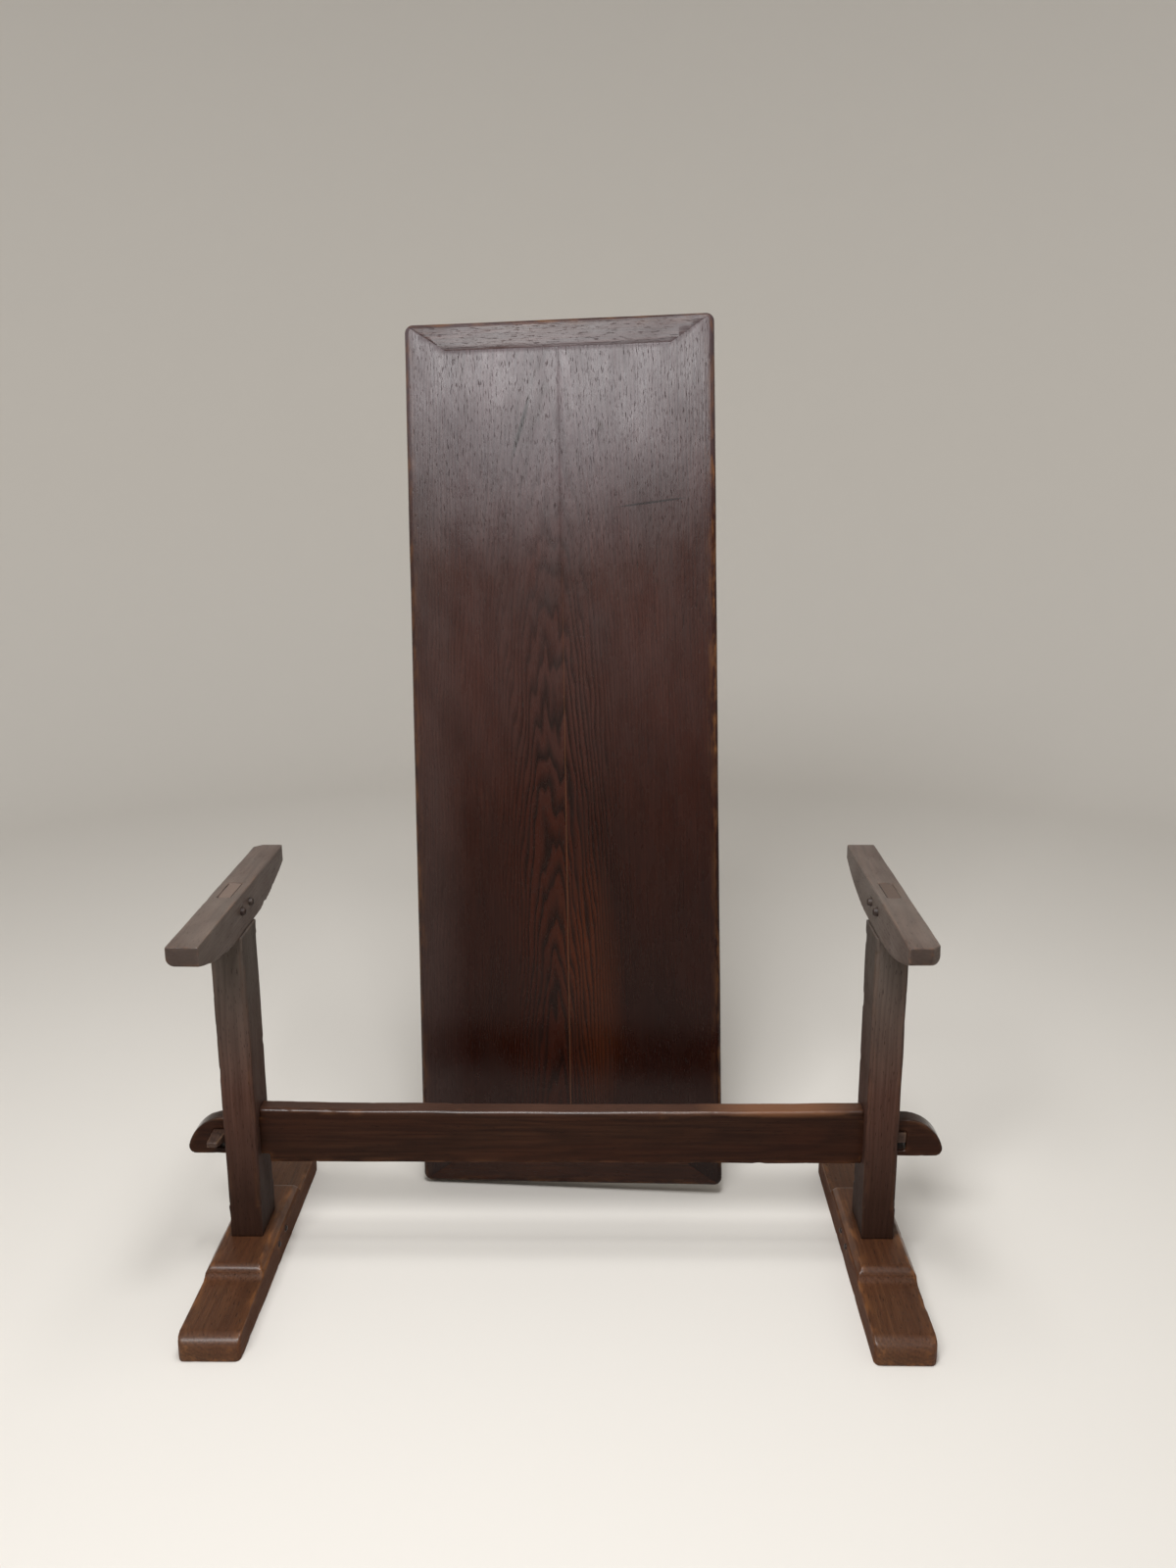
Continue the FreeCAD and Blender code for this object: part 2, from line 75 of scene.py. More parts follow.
def addNode(tree, kind, inputs=None, out=0, **settings):
    # adds a node, sets or links its inputs and gives back one output
    node = tree.nodes.new(kind)
    for name, value in settings.items():
        setattr(node, name, value)
    for name, value in (inputs or {}).items():
        if isinstance(value, bpy.types.NodeSocket):
            tree.links.new(value, node.inputs[name])
        else:
            node.inputs[name].default_value = value
    return node.outputs[out]


# stained oak under wax: dark brown ground, near-black growth lines and pores, a red glow where the stain is thin,
# rubbed orange-brown along handled edges, dark dirt in the joints; on some pieces painted sheen, painted light and
# painted shade are laid in with the stains
oakDefaults = {
    "ground": "#2b1812", "glow": "#4a2a1e", "line": "#150b08", "pore": "#120a07", "red": "#4a1c12",
    "worn": "#7a5236", "bloomAndSheen": "#6a5c55", "end": "#2a1a14", "dirt": "#0c0605",
    "glowShare": 0.9, "redShare": 0.5, "driftShare": 0.35, "lineShare": 0.35, "poreShare": 0.6,
    "bloomAndSheenShare": 0.0, "endShare": 0.0, "wearShare": 0.4, "dirtShare": 0.9,
    "ringWidth": 6.5 * mm, "waver": 3.0, "pith": Vector((0, 0, -80 * mm)), "tilt": -1.2,
    "figure": [], "stainsAndPaintedLight": [], "marks": [],
    "roughness": (0.34, 0.48), "gloss": 0.2, "coat": 0.0, "specular": 0.35, "bump": 0.35 * mm,
}
# what all the oak shares: where a ring turns dark, how much pores and ends dull it, its relief, its wax
oakCommon = {
    "noiseRoughness": 0.58, "earlyTo": 0.55, "lateFrom": 0.82, "poresDull": 0.2, "endDull": 0.3,
    "fibresRise": 0.5, "poresSink": -1.1, "rippleRise": 1.8, "bumpStrength": 0.6,
    "coatRoughness": 0.3, "ior": 1.48, "markEdge": 0.6, "markDeep": 60 * mm,
}
# length and width in mm, noise detail, and the part of the noise that counts;
# fibres and pores are drawn about six times coarser than real ones, or they would not show
oakPatterns = {
    "fibres": (170, 4.2, 4, 0.32, 0.68),
    "pores": (17, 2.2, 1, 0.63, 0.74),
    "blotch": (520, 140, 3, 0.35, 0.68),
    "drift": (230, 110, 2, 0.3, 0.7),
    "bloomAndSheen": (330, 200, 4, 0.35, 0.8),
    "rub": (48, 13, 4, 0.46, 0.64),
    "polish": (120, 45, 4, 0.3, 0.7),
    "ripple": (45, 16, 2, 0.0, 1.0),
    "waver": (330, 42, 2, 0.0, 1.0),
}


def makeOak(name, along, across, middle, look):
    look = {**oakDefaults, **oakCommon, **look}
    material = bpy.data.materials.new(name)
    material.use_nodes = True
    tree = material.node_tree
    shader = tree.nodes["Principled BSDF"]
    turn = Matrix((along, across, along.cross(across)))
    spot = addNode(tree, "ShaderNodeTexCoord", out="Object")
    grain = addNode(tree, "ShaderNodeMapping", {
        "Vector": spot, "Rotation": turn.to_euler(), "Location": tuple(-(turn @ middle))})

    masks = {}
    for pattern, (length, width, detail, low, high) in oakPatterns.items():
        scale = (1 / (length * mm), 1 / (width * mm), 1 / (width * mm))
        stretched = addNode(tree, "ShaderNodeVectorMath", {0: grain, 1: scale}, operation="MULTIPLY")
        cloud = addNode(tree, "ShaderNodeTexNoise", {
            "Vector": stretched, "Scale": 1.0, "Detail": detail, "Roughness": look["noiseRoughness"]})
        masks[pattern] = addNode(tree, "ShaderNodeMapRange", {
            "Value": cloud, "From Min": low, "From Max": high})

    # growth rings round a pith that runs askew of the face, so that they come out there as arches
    log = addNode(tree, "ShaderNodeMapping", {
        "Vector": grain, "Rotation": (0, math.radians(look["tilt"]), 0), "Location": tuple(-look["pith"])})
    flat = addNode(tree, "ShaderNodeVectorMath", {0: log, 1: (0, 1, 1)}, operation="MULTIPLY")
    radius = addNode(tree, "ShaderNodeVectorMath", {0: flat}, out="Value", operation="LENGTH")
    count = addNode(tree, "ShaderNodeMath", {0: radius, 1: look["ringWidth"]}, operation="DIVIDE")
    wavering = addNode(tree, "ShaderNodeMath", {0: masks["waver"], 1: look["waver"], 2: count},
                       operation="MULTIPLY_ADD")
    ring = addNode(tree, "ShaderNodeMath", {0: wavering}, operation="FRACT")
    early = addNode(tree, "ShaderNodeMapRange", {
        "Value": ring, "From Min": look["earlyTo"], "From Max": 0.0})
    late = addNode(tree, "ShaderNodeMapRange", {
        "Value": ring, "From Min": look["lateFrom"], "From Max": 1.0})
    lines = addNode(tree, "ShaderNodeMath", {0: early, 1: late}, operation="MAXIMUM")

    # soft spindle-shaped stains and marks, each placed along and across the face from its middle; some of the
    # stains are painted light: painted sheen on the top, painted light on posts and stretcher, painted shade low
    # on the boards
    spindles = {"figure": [], "stainsAndPaintedLight": [], "marks": []}
    for group, found in spindles.items():
        for mark in look[group]:
            local = addNode(tree, "ShaderNodeMapping", {
                "Vector": grain, "Location": (mark["along"], mark["across"], 0),
                "Rotation": (0, 0, math.radians(mark.get("angle", 0))),
                "Scale": (mark["length"] / 2, mark["width"] / 2, mark.get("deep", look["markDeep"])),
            }, vector_type="TEXTURE")
            soft = addNode(tree, "ShaderNodeTexGradient", {"Vector": local}, out="Fac",
                           gradient_type="SPHERICAL")
            mask = addNode(tree, "ShaderNodeMapRange", {
                "Value": soft, "From Max": mark.get("edge", look["markEdge"])})
            if group == "figure":
                mask = addNode(tree, "ShaderNodeMath", {0: mask, 1: lines}, operation="MULTIPLY")
            found.append((mask, mark["share"], mark["colour"]))

    wear = addNode(tree, "ShaderNodeAttribute", out="Fac", attribute_name="wear")
    end = addNode(tree, "ShaderNodeAttribute", out="Fac", attribute_name="end")
    seam = addNode(tree, "ShaderNodeAttribute", out="Fac", attribute_name="seam")
    rubbed = addNode(tree, "ShaderNodeMath", {0: wear, 1: masks["rub"]}, operation="MULTIPLY")
    layers = [
        (masks["fibres"], look["glowShare"], look["glow"]),
        (masks["blotch"], look["redShare"], look["red"]),
        *spindles["stainsAndPaintedLight"],
        (masks["drift"], look["driftShare"], look["line"]),
        (lines, look["lineShare"], look["line"]),
        *spindles["figure"],
        (masks["pores"], look["poreShare"], look["pore"]),
        (masks["bloomAndSheen"], look["bloomAndSheenShare"], look["bloomAndSheen"]),
        (end, look["endShare"], look["end"]),
        *spindles["marks"],
        (rubbed, look["wearShare"], look["worn"]),
        (seam, look["dirtShare"], look["dirt"]),
    ]
    colour = linear(look["ground"])
    for mask, share, tint in layers:
        amount = addNode(tree, "ShaderNodeMath", {0: mask, 1: share}, operation="MULTIPLY")
        colour = addNode(tree, "ShaderNodeMix", {0: amount, 6: colour, 7: linear(tint)}, out=2,
                         data_type="RGBA")
    tree.links.new(colour, shader.inputs["Base Color"])

    # waxed high spots shine, open pores and the dry end faces stay dull
    low, high = look["roughness"]
    dull = addNode(tree, "ShaderNodeMapRange", {"Value": masks["polish"], "To Min": low, "To Max": high})
    pitted = addNode(tree, "ShaderNodeMath", {0: masks["pores"], 1: look["poresDull"], 2: dull},
                     operation="MULTIPLY_ADD")
    dry = addNode(tree, "ShaderNodeMath", {0: end, 1: look["endDull"], 2: pitted}, operation="MULTIPLY_ADD")
    handled = addNode(tree, "ShaderNodeAttribute", out="Fac", attribute_name="polish")
    rough = addNode(tree, "ShaderNodeMix", {0: handled, 2: dry, 3: look["gloss"]})
    tree.links.new(rough, shader.inputs["Roughness"])
    if look["coat"]:
        waxed = addNode(tree, "ShaderNodeMath", {0: handled, 1: look["coat"]}, operation="MULTIPLY")
        tree.links.new(waxed, shader.inputs["Coat Weight"])
        shader.inputs["Coat Roughness"].default_value = look["coatRoughness"]
    relief = addNode(tree, "ShaderNodeMath", {0: masks["fibres"], 1: look["fibresRise"]},
                     operation="MULTIPLY")
    for pattern, height in (("pores", look["poresSink"]), ("ripple", look["rippleRise"])):
        relief = addNode(tree, "ShaderNodeMath", {0: masks[pattern], 1: height, 2: relief},
                         operation="MULTIPLY_ADD")
    bump = addNode(tree, "ShaderNodeBump", {
        "Height": relief, "Strength": look["bumpStrength"], "Distance": look["bump"]})
    tree.links.new(bump, shader.inputs["Normal"])
    shader.inputs["IOR"].default_value = look["ior"]
    shader.inputs["Specular IOR Level"].default_value = look["specular"]
    return material


def shiver(point, size, seed):
    # slow hand-made unevenness, the same for neighbours so that joints stay closed
    return noise.noise_vector(point / size + Vector((seed, seed * 2, seed * 3)))


def cleanCopy(node):
    mesh = bmesh.new()
    mesh.from_mesh(nodes[node].data)
    bmesh.ops.remove_doubles(mesh, verts=mesh.verts, dist=samePlace)
    return mesh


def middleOf(node):
    low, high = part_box(node)
    return (low + high) / 2


def newPiece(name, mesh):
    data = bpy.data.meshes.new(name)
    mesh.to_mesh(data)
    mesh.free()
    piece = bpy.data.objects.new(name, data)
    scene.collection.objects.link(piece)
    return piece


def sharpPoints(mesh, step):
    # points along the hard outer edges, to measure wear from
    points = []
    for edge in mesh.edges:
        if len(edge.link_faces) == 2 and edge.is_convex and edge.calc_face_angle(0) > hardEdge:
            a, b = (v.co for v in edge.verts)
            count = max(1, int((b - a).length / step))
            points += [a.lerp(b, i / count) for i in range(count + 1)]
    tree = KDTree(len(points))
    for i, point in enumerate(points):
        tree.insert(point, i)
    tree.balance()
    return tree


def paint(data, kind, values, domain="POINT"):
    data.attributes.new(kind, "FLOAT", domain).data.foreach_set("value", values)


def finishPiece(piece, node, body, material):
    piece.data.materials.clear()
    piece.data.materials.append(material)
    piece.data.shade_smooth()
    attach(piece, body)
    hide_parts(node)


def wornBlock(name, node, along, shape):
    # the piece as it is after long use: arrises rounded off, faces no longer quite true
    mesh = cleanCopy(node)
    edges = sharpPoints(mesh, 3 * mm)
    piece = newPiece(name, mesh)
    remesh = piece.modifiers.new("grid", "REMESH")
    remesh.mode = "VOXEL"
    remesh.voxel_size = shape["voxel"]
    soften = piece.modifiers.new("soften", "SMOOTH")
    soften.factor = 0.5    # halfway to the neighbours at each pass
    soften.iterations = shape["soften"]
    graph = bpy.context.evaluated_depsgraph_get()
    shaped = bpy.data.meshes.new_from_object(piece.evaluated_get(graph))
    piece.modifiers.clear()
    piece.data = shaped
    wear, polish, end, places = [], [], [], []
    for vertex in shaped.vertices:
        spot, normal = vertex.co, vertex.normal
        distance = edges.find(spot)[2]
        wear.append(math.exp(-(distance / shape["wearWidth"]) ** 2))
        hollow = shape["dullFrom"] < spot.z < shape["dullTo"]    # nobody's shoe reaches in there
        rolled = (normal.z - shape["polishTilt"]) / shape["polishSpread"]
        polish.append(0.0 if hollow else math.exp(-rolled ** 2))
        facing = abs(normal.dot(shape.get("endGrainAndShadedSideFace", along)))
        end.append(max(0.0, facing * 2 - 1) if spot.z > shape["endFrom"] else 0.0)
        dent = noise.noise(spot / shape["dentSize"] + shape["dentSeed"])
        sink = max(0.0, dent - shape["dentFrom"]) * shape["dent"] * wear[-1]
        move = shiver(spot, shape["waveSize"], 1.0) * shape["wave"] - normal * sink
        if spot.z < shape["floorTo"] or spot.z > shape["seatFrom"]:
            move.z = 0    # stands flat on the floor, carries the top flat
        places.extend(spot + move)
    shaped.vertices.foreach_set("co", places)
    paint(shaped, "wear", wear)
    paint(shaped, "polish", polish)
    paint(shaped, "end", end)
    return piece


trestleShape = {"voxel": 2.1 * mm, "soften": 2, "wearWidth": 4 * mm, "wave": 0.6 * mm, "waveSize": 70 * mm,
                "dent": 4 * mm, "dentSize": 28 * mm, "dullFrom": 0, "dullTo": 0, "floorTo": 4 * mm,
                "seatFrom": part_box("left_bearer")[1].z - 4 * mm, "endFrom": 0, "polishTilt": 0.65,
                "polishSpread": 0.28, "dentSeed": Vector((7, 3, 1)), "dentFrom": 0.25}

# feet: warm brown on top, paler where shoes rubbed the inner edges, a broken gloss on the rolls of nose and step,
# and the sides painted a dull red-brown as painted shade and painted warm floor reflection
footOak = {"ground": "#4a3122", "glow": "#68472f", "red": "#5e3520", "worn": "#8a5a34", "wearShare": 0.5,
           "pith": Vector((0, 30 * mm, -90 * mm)), "roughness": (0.38, 0.52), "gloss": 0.38, "coat": 0.55,
           "specular": 0.14, "bump": 0.85 * mm, "end": "#4a2813", "endShare": 0.8, "glowShare": 0.6,
           "lineShare": 0.2}
# posts: dry brown faces with a painted light greying the upper end, near-black at the foot; the tenon's end grain
# shows paler in the bearer
postOak = {"ground": "#432f28", "glow": "#634b42", "red": "#573021", "pith": Vector((0, 20 * mm, -70 * mm)),
           "tilt": -0.6, "roughness": (0.56, 0.7), "coat": 0.2, "specular": 0.1, "wearShare": 0.12,
           "endShare": 0.8, "redShare": 0.3, "glowShare": 0.6, "lineShare": 0.2,
           # painted light: the upper end greyed and paler, as where the light falls on it
           "stainsAndPaintedLight": [{"along": 380 * mm, "across": 0, "length": 800 * mm, "width": 800 * mm,
                       "deep": 400 * mm, "share": 0.8, "colour": "#5e5751"},
                      {"along": -330 * mm, "across": 0, "length": 560 * mm, "width": 800 * mm,
                       "deep": 400 * mm, "share": 0.75, "colour": "#26150c"}]}
tenonEnds = {"left": "#75655c", "right": "#5e5048"}
# bearers: bare of wax, grey bloom over brown, darker end grain
bearerOak = {"ground": "#463530", "glow": "#66544c", "red": "#574237", "bloomAndSheen": "#7d746c", "bloomAndSheenShare": 0.6,
             "wearShare": 0.25, "pith": Vector((0, 10 * mm, -80 * mm)), "roughness": (0.40, 0.54),
             "specular": 0.3, "end": "#352a25", "endShare": 0.75}
trestlePieces = {
    "foot": (footOak, y, x, {"soften": 6, "wearWidth": 9 * mm, "dullFrom": 45.5 * mm, "dullTo": 56 * mm,
                             "dent": 2.5 * mm, "endGrainAndShadedSideFace": x}),    # sides take the end colour: painted shade and painted warm floor reflection
    "post": (postOak, z, x, {"endFrom": trestleShape["seatFrom"]}),    # only the tenon's end shows
    "bearer": (bearerOak, y, x, {}),
}
for side, sign in sides.items():
    for part, (oak, along, across, change) in trestlePieces.items():
        node = side + "_" + part
        name = side.capitalize() + part.capitalize()
        piece = wornBlock(side + part.capitalize(), node, along, {**trestleShape, **change})
        oak = {**oak, "pith": oak["pith"] + Vector((0, sign * 9 * mm, 0))}
        if part == "post":
            oak["end"] = tenonEnds[side]
        material = makeOak("waxedOak" + name, along, across, middleOf(node), oak)
        finishPiece(piece, node, "base", material)
    print(side, "trestle done")

# stretcher: near-black front, a paler top face as painted light, top edge polished by feet and rubbed to orange
# right of the middle
stretcherOak = {"ground": "#22130c", "glow": "#382216", "red": "#3c1d11", "worn": "#855a3c", "wearShare": 0.2,
                "pith": Vector((0, 0, -70 * mm)), "roughness": (0.36, 0.5), "coat": 1.0, "specular": 0.08,
                # painted light: a paler band along the top face, standing in for the light and highlight it
                # catches
                "stainsAndPaintedLight": [{"along": 0, "across": 56 * mm, "length": 1500 * mm, "width": 36 * mm,
                            "share": 0.7, "colour": "#5e4236"}],
                "marks": [{"along": 385 * mm, "across": 54 * mm, "length": 320 * mm, "width": 34 * mm,
                           "share": 0.6, "colour": "#84583c"}]}
stretcherShape = {**trestleShape, "wave": 1.1 * mm, "waveSize": 90 * mm, "soften": 4, "wearWidth": 6 * mm}
piece = wornBlock("stretcher", "stretcher", x, stretcherShape)
material = makeOak("waxedOakStretcher", x, z, middleOf("stretcher"), stretcherOak)
finishPiece(piece, "stretcher", "base", material)

# keys: later oak, whittled with a knife, a little paler than the rest
keyOak = {"ground": "#3a2a22", "glow": "#58443a", "red": "#4a3126", "worn": "#8a6c52", "ringWidth": 4 * mm,
          "roughness": (0.4, 0.55)}
keyShape = {**trestleShape, "voxel": 1.2 * mm, "soften": 3, "waveSize": 18 * mm, "wearWidth": 2.5 * mm,
            "dent": 2 * mm}
for side in sides:
    node = side + "_key"
    piece = wornBlock(side + "Key", node, y, keyShape)
    material = makeOak("whittledOak" + side.capitalize() + "Key", y, x, middleOf(node), keyOak)
    finishPiece(piece, node, node, material)
print("stretcher and keys done")

# pegs: riven oak driven in, dark with wax, heads left proud and knocked round
pegShape = {"sides": 12, "uneven": 0.10, "dome": 3.4 * mm, "rings": 6, "flat": 0.25, "wear": 0.3,
            "polish": 0.6}    # flat is the share of the radius left flat on a head
pegOak = {"ground": "#1c110d", "glow": "#2e1d16", "red": "#2a130d", "worn": "#5a4030", "gloss": 0.3}
pegLooks = {"foot": pegOak, "bearer": {**pegOak, "ground": "#302722", "glow": "#473b34", "gloss": 0.45}}


def wornPegs(name, node):
    low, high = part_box(node)
    radius = (high.z - low.z) / 2
    dome = pegShape["dome"]
    depth = high.x - low.x
    outline = []    # how far in from each end, and how wide there
    for i in range(pegShape["rings"]):
        angle = math.radians(90) * i / (pegShape["rings"] - 1)
        wide = pegShape["flat"] + (1 - pegShape["flat"]) * math.cos(angle)
        outline.append((dome * (1 - math.sin(angle)), wide))
    outline = outline[::-1]
    outline += [(depth - inset, wide) for inset, wide in outline[::-1]]
    mesh = bmesh.new()
    for end in (low.y + radius, high.y - radius):
        axis = Vector((low.x, end, low.z + radius))
        rings = []
        for inset, wide in outline:
            ring = []
            for i in range(pegShape["sides"]):
                angle = i * math.tau / pegShape["sides"]
                cut = pegShape["uneven"] * abs(noise.noise(Vector((i * 0.7, end * 90, 2))))
                reach = radius * wide * (1 - cut)
                off = Vector((inset, math.cos(angle) * reach, math.sin(angle) * reach))
                ring.append(mesh.verts.new(axis + off))
            rings.append(ring)
        for first, second in zip(rings, rings[1:]):
            for i in range(len(first)):
                j = (i + 1) % len(first)
                mesh.faces.new((first[i], first[j], second[j], second[i]))
        mesh.faces.new(rings[0][::-1])
        mesh.faces.new(rings[-1])
    bmesh.ops.recalc_face_normals(mesh, faces=mesh.faces)
    piece = newPiece(name, mesh)
    paint(piece.data, "wear", [pegShape["wear"]] * len(piece.data.vertices))
    paint(piece.data, "polish", [max(0.0, v.normal.z) * pegShape["polish"] for v in piece.data.vertices])
    return piece


for side in sides:
    for part, oak in pegLooks.items():
        node = side + "_" + part + "_pegs"
        piece = wornPegs(side + part.capitalize() + "Pegs", node)
        name = side.capitalize() + part.capitalize()
        material = makeOak("darkOakPegs" + name, x, y, middleOf(node), oak)
        finishPiece(piece, node, "base", material)
print("pegs done")

# the top: boards and end clamps with thin dark joint lines and a soft worn rim
topMiddle = Vector(mounts["top_face"]["pos_m"])
topPieces = ("left_board", "right_board", "lower_clamp", "upper_clamp")
spots = [v.co - topMiddle for node in topPieces for v in nodes[node].data.vertices]
acrossLow, acrossHigh = min(s.dot(topAcross) for s in spots), max(s.dot(topAcross) for s in spots)
alongLow, alongHigh = min(s.dot(topAlong) for s in spots), max(s.dot(topAlong) for s in spots)
topMiddle += topAcross * (acrossLow + acrossHigh) / 2 + topAlong * (alongLow + alongHigh) / 2
topHalfWidth, topHalfLength = (acrossHigh - acrossLow) / 2, (alongHigh - alongLow) / 2
topShape = {"cell": 22 * mm, "ease": 0.4 * mm, "wave": 1.0 * mm, "waveSize": 190 * mm, "wearWidth": 9 * mm,
            "flatBelow": 20 * mm, "easeAngle": 35, "mergeAngle": 0.5, "rimWear": 0.45,
            "rubbedFrom": 20 * mm, "rubbedTo": 620 * mm}    # the right rim is worn most between these


def topPiece(name, node):
    mesh = cleanCopy(node)
    flat = math.radians(topShape["mergeAngle"])
    bmesh.ops.dissolve_limit(mesh, angle_limit=flat, verts=mesh.verts, edges=mesh.edges)
    for direction, half in ((topAcross, topHalfWidth), (topAlong, topHalfLength)):
        count = int(2 * half / topShape["cell"])
        for i in range(1, count):
            cut = topMiddle + direction * (-half + 2 * half * i / count)
            reach = [(v.co - cut).dot(direction) for v in mesh.verts]
            if min(reach) < -mm and max(reach) > mm:
                geometry = mesh.verts[:] + mesh.edges[:] + mesh.faces[:]
                bmesh.ops.bisect_plane(mesh, geom=geometry, plane_co=cut, plane_no=direction,
                                       dist=samePlace)
    least = math.radians(topShape["easeAngle"])
    hard = [e for e in mesh.edges if len(e.link_faces) == 2 and e.calc_face_angle(0) > least]
    eased = bmesh.ops.bevel(mesh, geom=hard, offset=topShape["ease"], segments=2, profile=0.6, affect="EDGES",
                            clamp_overlap=True)["faces"]
    mesh.faces.index_update()
    seam = [0.0] * len(mesh.faces)
    for face in eased:
        seam[face.index] = 1.0
    for edge in mesh.edges:
        edge.smooth = edge.calc_face_angle(0) < hardEdge
    wear = []
    for vertex in mesh.verts:
        spot = vertex.co - topMiddle
        across, along = spot.dot(topAcross), spot.dot(topAlong)
        rim = min(topHalfWidth - abs(across), topHalfLength - abs(along))
        rubbed = across > 0 and topShape["rubbedFrom"] < along < topShape["rubbedTo"]
        share = 1.0 if rubbed else topShape["rimWear"]
        wear.append(math.exp(-(max(rim, 0) / topShape["wearWidth"]) ** 2) * share)
    for vertex in mesh.verts:
        move = shiver(vertex.co, topShape["waveSize"], 4.0) * topShape["wave"]
        if (vertex.co - topMiddle).dot(topOut) < -topShape["flatBelow"]:
            move -= topOut * move.dot(topOut)    # the underside stays true, to lie on the bearers
        vertex.co += move
    piece = newPiece(name, mesh)
    paint(piece.data, "wear", wear)
    paint(piece.data, "seam", seam, "FACE")
    return piece


# top boards: wine-dark stain over flat-sawn oak whose arches run up to both sides of the middle joint, thin and
# redder low down, with the marks of years of use; a painted sheen over the upper part and along the left edge, and
# the lower end darkened, partly as painted shade
topOak = {
    "ground": "#250f09", "glow": "#3a1c13", "red": "#3c1309", "line": "#110504", "worn": "#80552f",
    "ringWidth": 5.6 * mm, "waver": 4.5, "lineShare": 0.3, "driftShare": 0.35, "redShare": 0.25,
    "roughness": (0.22, 0.32), "bump": 0.36 * mm, "wearShare": 0.75, "dirtShare": 0.5, "specular": 0.22,
    "pith": Vector((0, -25 * mm, -86 * mm)), "tilt": -3.43,
}
boardMarks = {
    "figure": [{"along": -270 * mm, "across": -5 * mm, "length": 1500 * mm, "width": 300 * mm, "share": 0.75,
                "colour": "#0b0301", "edge": 0.55}],
    "stainsAndPaintedLight": [
        # darker towards the lower end: partly a thinner stain, partly painted shade
        {"along": -900 * mm, "across": 60 * mm, "length": 2300 * mm, "width": 1400 * mm, "share": 0.8,
         "colour": "#180400"},
        {"along": -420 * mm, "across": 40 * mm, "length": 640 * mm, "width": 150 * mm, "angle": -3,
         "share": 0.6, "colour": "#55260b", "edge": 0.9},
        {"along": -250 * mm, "across": -30 * mm, "length": 1300 * mm, "width": 240 * mm, "share": 0.4,
         "colour": "#3c170a"},
        # painted sheen: a cool grey band along the left edge
        {"along": 0, "across": -303 * mm, "length": 2600 * mm, "width": 220 * mm, "share": 0.4,
         "colour": "#453936"},
        # painted sheen: cool grey over the upper end, standing in for the reflection of the front light
        {"along": 800 * mm, "across": -40 * mm, "length": 900 * mm, "width": 1100 * mm, "share": 0.4,
         "colour": "#736c72"},
        # painted sheen: a paler grey-brown over the middle, where the painted sheen fades out
        {"along": 230 * mm, "across": -40 * mm, "length": 700 * mm, "width": 1100 * mm, "share": 0.35,
         "colour": "#46312d"},
    ],
    "marks": [
        {"along": -350 * mm, "across": 1.8 * mm, "length": 1700 * mm, "width": 3 * mm, "share": 0.4,
         "colour": "#64402a", "edge": 0.5},
        {"along": 653 * mm, "across": -75 * mm, "length": 170 * mm, "width": 11 * mm, "angle": 16.8,
         "share": 0.8, "colour": "#120a09"},
        {"along": 500 * mm, "across": 179 * mm, "length": 150 * mm, "width": 5 * mm, "angle": 84,
         "share": 0.8, "colour": "#120908", "edge": 0.3},
        {"along": 649 * mm, "across": 82 * mm, "length": 24 * mm, "width": 16 * mm, "share": 0.6,
         "colour": "#241512"},
    ],
}
for name, node in (("leftBoard", "left_board"), ("rightBoard", "right_board")):
    material = makeOak("stainedOak" + name[0].upper() + name[1:], topAlong, topAcross, topMiddle,
                       {**topOak, **boardMarks})
    finishPiece(topPiece(name, node), node, "top", material)
clampOak = {**topOak, "pith": Vector((0, 0, -120 * mm)), "tilt": -0.8}
# the upper clamp carries a painted sheen in cool grey, the lower one has kept its warm brown
clampLooks = {
    # painted sheen: cool grey over the upper clamp, where the front light glances off
    "upper": {"bloomAndSheen": "#7d767b", "bloomAndSheenShare": 0.4},
    "lower": {"ground": "#2c150b", "glow": "#402111"},
}
for end, look in clampLooks.items():
    name, node = end + "Clamp", end + "_clamp"
    material = makeOak("stainedOak" + end.capitalize() + "Clamp", topAcross, topAlong, middleOf(node),
                       {**clampOak, **look})
    finishPiece(topPiece(name, node), node, "top", material)
print("top done")

# dowels sit inside the middle joint and never show: dry, unstained oak
dowelOak = makeOak("dryOakDowels", topAcross, topAlong, middleOf("end_dowel"),
                   {"ground": "#7a5a3a", "glow": "#a07c52"})
for node in ("end_dowel", "board_dowels"):
    nodes[node].data.materials.clear()
    nodes[node].data.materials.append(dowelOak)

# stage: a round pale cove, far enough to walk the camera round inside it
cove = {"floor": 3.5, "bend": 1.4, "height": 4.3, "segments": 96, "steps": 12, "colour": "#dedad4",
        "roughness": 0.85}


def makeCove():
    profile = [(cove["floor"], 0)]
    for i in range(1, cove["steps"] + 1):
        angle = math.radians(90) * i / cove["steps"]
        out, rise = math.sin(angle), 1 - math.cos(angle)
        profile.append((cove["floor"] + cove["bend"] * out, cove["bend"] * rise))
    profile.append((cove["floor"] + cove["bend"], cove["height"]))
    mesh = bmesh.new()
    centre = mesh.verts.new((0, 0, 0))
    rings = []
    for radius, height in profile:
        ring = []
        for i in range(cove["segments"]):
            angle = i * math.tau / cove["segments"]
            ring.append(mesh.verts.new((radius * math.cos(angle), radius * math.sin(angle), height)))
        rings.append(ring)
    for i in range(cove["segments"]):
        j = (i + 1) % cove["segments"]
        mesh.faces.new((centre, rings[0][i], rings[0][j]))
        for first, second in zip(rings, rings[1:]):
            mesh.faces.new((first[i], second[i], second[j], first[j]))
    stage = newPiece("cove", mesh)
    stage.data.shade_smooth()
    lime = bpy.data.materials.new("mattLimewash")    # flat pale wall paint, no shine
    lime.use_nodes = True
    shader = lime.node_tree.nodes["Principled BSDF"]
    shader.inputs["Base Color"].default_value = linear(cove["colour"])
    shader.inputs["Roughness"].default_value = cove["roughness"]
    stage.data.materials.append(lime)


makeCove()

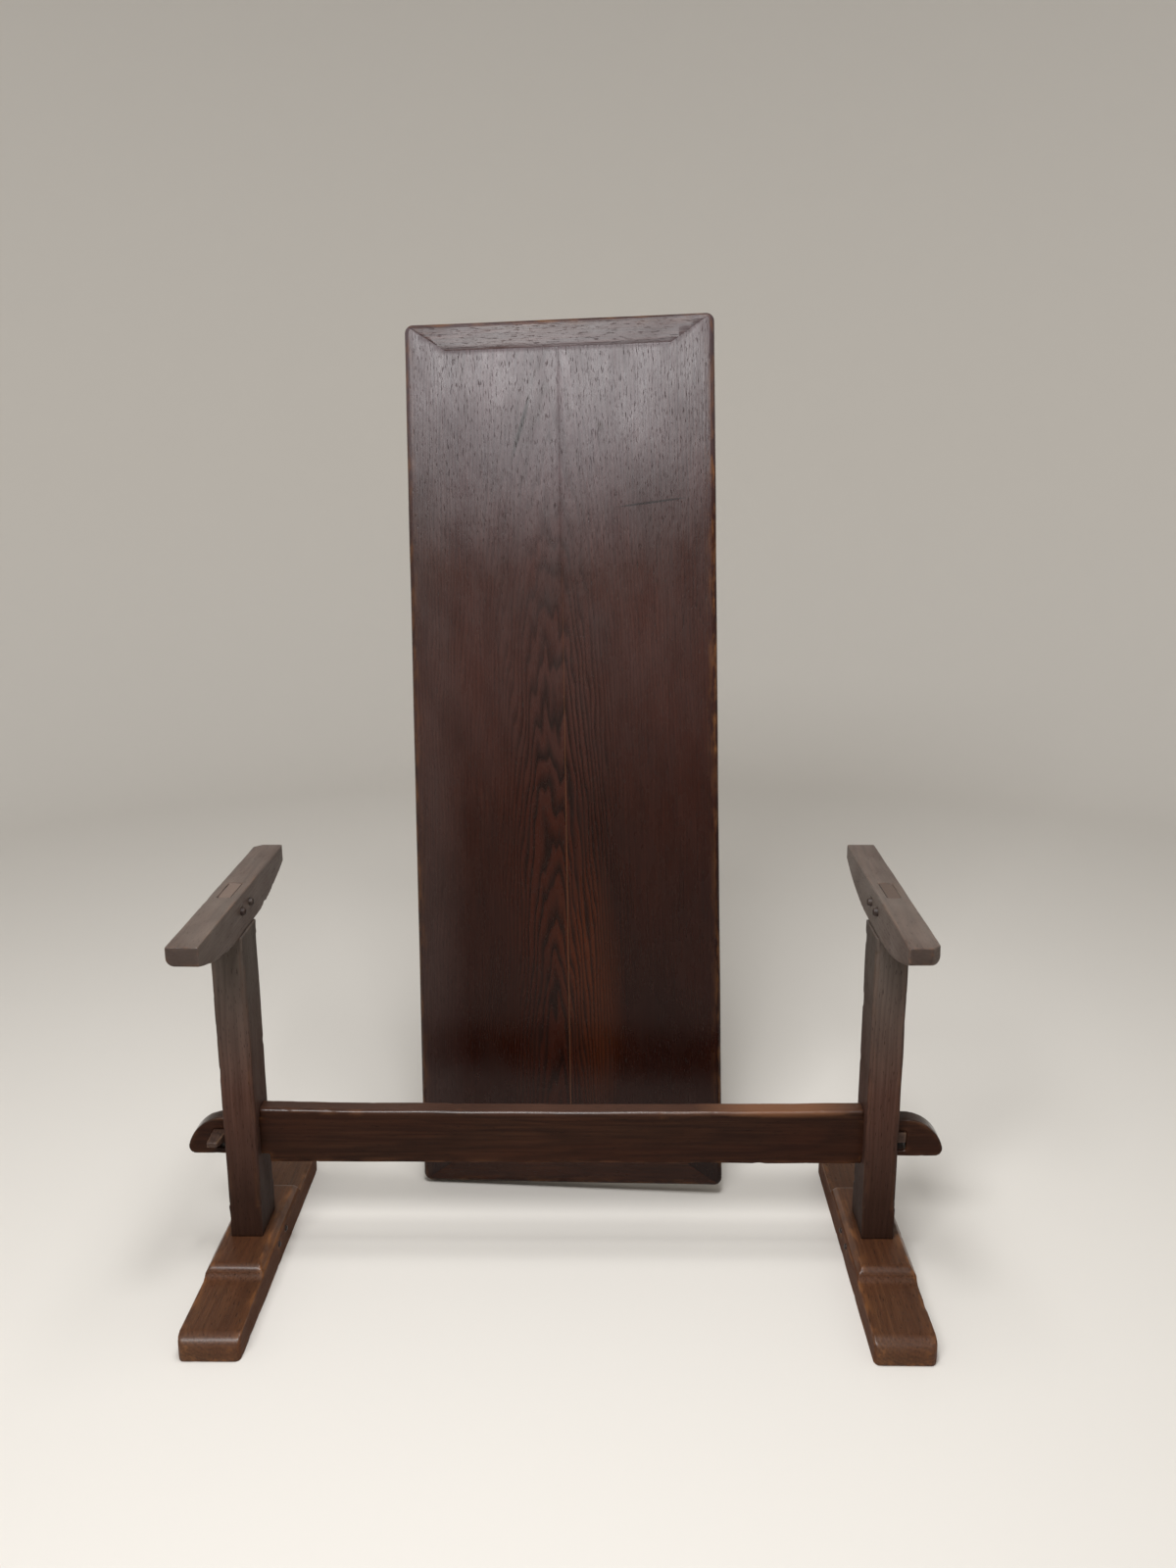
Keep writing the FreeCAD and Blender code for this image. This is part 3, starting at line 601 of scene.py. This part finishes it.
# soft studio light: a high front box that glances off the top, a broad one overhead, a small lamp
lamps = {
    "frontBox": {"at": (-0.8, -3.0, 3.35), "aim": (0, 0.2, 1.0), "size": (2.0, 0.8), "power": 125},
    "overhead": {"at": (0.1, -0.3, 3.6), "aim": (0, 0, 0), "size": (1.4, 1.0), "power": 38},
    "ceilingLamp": {"at": (0.05, -0.9, 3.0), "aim": (0, -0.2, 0), "size": (0.3, 0.3), "power": 15},
}
for name, lamp in lamps.items():
    light = bpy.data.lights.new(name, "AREA")
    light.shape = "RECTANGLE"
    light.size, light.size_y = lamp["size"]
    light.energy = lamp["power"]
    holder = bpy.data.objects.new(name, light)
    holder.location = baseMiddle + Vector(lamp["at"])
    aim = baseMiddle + Vector(lamp["aim"]) - holder.location
    holder.rotation_euler = aim.to_track_quat("-Z", "Y").to_euler()
    scene.collection.objects.link(holder)
room = {"colour": "#f2f0ec", "strength": 0.32}
world = bpy.data.worlds.new("softRoom")
world.use_nodes = True
world.node_tree.nodes["Background"].inputs["Color"].default_value = linear(room["colour"])
world.node_tree.nodes["Background"].inputs["Strength"].default_value = room["strength"]
scene.world = world

# camera as in the photograph: place from the base's middle, turns in degrees, focal length in pixels
shot = {"at": (0.0866, -2.2065, 1.4609), "yaw": -0.905, "pitch": 14.146, "roll": -0.252, "focal": 1368.8,
        "tall": 1600, "sensor": 36}
lens = bpy.data.cameras.new("photoCamera")
lens.sensor_width = shot["sensor"]
lens.lens = shot["focal"] * lens.sensor_width / shot["tall"]
camera = bpy.data.objects.new("photoCamera", lens)
yaw, pitch, roll = (math.radians(shot[key]) for key in ("yaw", "pitch", "roll"))
ahead = Vector((math.sin(yaw) * math.cos(pitch), math.cos(yaw) * math.cos(pitch), -math.sin(pitch)))
level = Vector((math.cos(yaw), -math.sin(yaw), 0))
upright = level.cross(ahead)
right = level * math.cos(roll) + upright * math.sin(roll)
up = upright * math.cos(roll) - level * math.sin(roll)
turned = Matrix((right, up, -ahead)).transposed().to_4x4()
camera.matrix_world = Matrix.Translation(baseMiddle + Vector(shot["at"])) @ turned
scene.collection.objects.link(camera)
scene.camera = camera
scene.view_settings.view_transform = "Standard"
